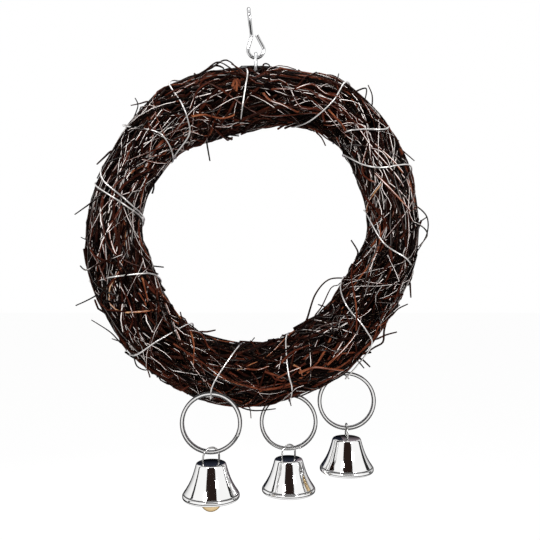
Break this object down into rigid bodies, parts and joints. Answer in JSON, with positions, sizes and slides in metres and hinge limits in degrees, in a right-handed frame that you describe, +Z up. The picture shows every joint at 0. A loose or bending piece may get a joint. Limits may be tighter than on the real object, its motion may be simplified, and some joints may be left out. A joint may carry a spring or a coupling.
{
  "type": "bird swing",
  "caption": "Hanging perch swing: a ring of wound vine twigs bound with wire, on a steel hook, with bells on split rings below.",
  "frame": {"origin": "seat of the hook crook, on the cage bar", "axes": "+Z up, the wreath lies in the XZ plane and its front faces -Y"},
  "size_m": [0.2109, 0.0602, 0.2912],
  "materials": {
    "hook_steel": "polished",
    "twig": "matte",
    "vine": "satin",
    "tie_wire": "satin",
    "ring_steel": "polished",
    "bell_nickel": "polished",
    "clapper_wire": "satin",
    "clapper_brass": "satin"
  },
  "bodies": {
    "hanger": {"hanging_hook": "hook_steel"},
    "link": {"hanging_ring": "hook_steel"},
    "wreath": {"inner_twig_bundle": "twig", "outer_vine_1": "vine", "outer_vine_2": "vine", "outer_vine_3": "vine", "outer_vine_4": "vine", "loose_shoots": "vine", "binding_wire": "tie_wire"},
    "ring_left": {"split_ring_left": "ring_steel"},
    "bell_left": {"bell_shell_left": "bell_nickel", "bell_bail_left": "ring_steel"},
    "clapper_left": {"clapper_wire_left": "clapper_wire", "clapper_ball_left": "clapper_brass"},
    "ring_middle": {"split_ring_middle": "ring_steel"},
    "bell_middle": {"bell_shell_middle": "bell_nickel", "bell_bail_middle": "ring_steel"},
    "clapper_middle": {"clapper_wire_middle": "clapper_wire", "clapper_ball_middle": "clapper_brass"},
    "ring_right": {"split_ring_right": "ring_steel"},
    "bell_right": {"bell_shell_right": "bell_nickel", "bell_bail_right": "ring_steel"},
    "clapper_right": {"clapper_wire_right": "clapper_wire", "clapper_ball_right": "clapper_brass"}
  },
  "joints": [
    {"name": "link_in_hook_eye", "type": "hinge", "parent": "hanger", "child": "link", "pos_m": [0.0042, 0, -0.0273], "axis": [1, 0, 0], "range_deg": [-30, 30]},
    {"name": "wreath_on_link", "type": "hinge", "parent": "link", "child": "wreath", "pos_m": [0.0042, 0, -0.0376], "axis": [0, 1, 0], "range_deg": [-30, 30]},
    {"name": "ring_left_swing", "type": "hinge", "parent": "wreath", "child": "ring_left", "pos_m": [-0.02066, -0.01643, -0.2237], "axis": [0, 1, 0], "range_deg": [-14, 25]},
    {"name": "bell_left_swing", "type": "hinge", "parent": "ring_left", "child": "bell_left", "pos_m": [-0.02066, -0.01643, -0.2545], "axis": [1, 0, 0], "range_deg": [-25, 25]},
    {"name": "clapper_left_swing", "type": "hinge", "parent": "bell_left", "child": "clapper_left", "pos_m": [-0.02066, -0.01643, -0.26335], "axis": [0.788, 0.6157, 0], "range_deg": [-20, 20]},
    {"name": "ring_middle_swing", "type": "hinge", "parent": "wreath", "child": "ring_middle", "pos_m": [0.02377, 0.01137, -0.22945], "axis": [0, 1, 0], "range_deg": [-8, 12]},
    {"name": "bell_middle_swing", "type": "hinge", "parent": "ring_middle", "child": "bell_middle", "pos_m": [0.02377, 0.01137, -0.26025], "axis": [1, 0, 0], "range_deg": [-25, 25]},
    {"name": "clapper_middle_swing", "type": "hinge", "parent": "bell_middle", "child": "clapper_middle", "pos_m": [0.02377, 0.01137, -0.2691], "axis": [0.7431, 0.6691, 0], "range_deg": [-20, 20]},
    {"name": "ring_right_swing", "type": "hinge", "parent": "wreath", "child": "ring_right", "pos_m": [0.05869, 0.0096, -0.2164], "axis": [0, 1, 0], "range_deg": [-25, 8]},
    {"name": "bell_right_swing", "type": "hinge", "parent": "ring_right", "child": "bell_right", "pos_m": [0.05869, 0.0096, -0.2472], "axis": [1, 0, 0], "range_deg": [-25, 25]},
    {"name": "clapper_right_swing", "type": "hinge", "parent": "bell_right", "child": "clapper_right", "pos_m": [0.05869, 0.0096, -0.25605], "axis": [0, 1, 0], "range_deg": [-20, 20]}
  ]
}
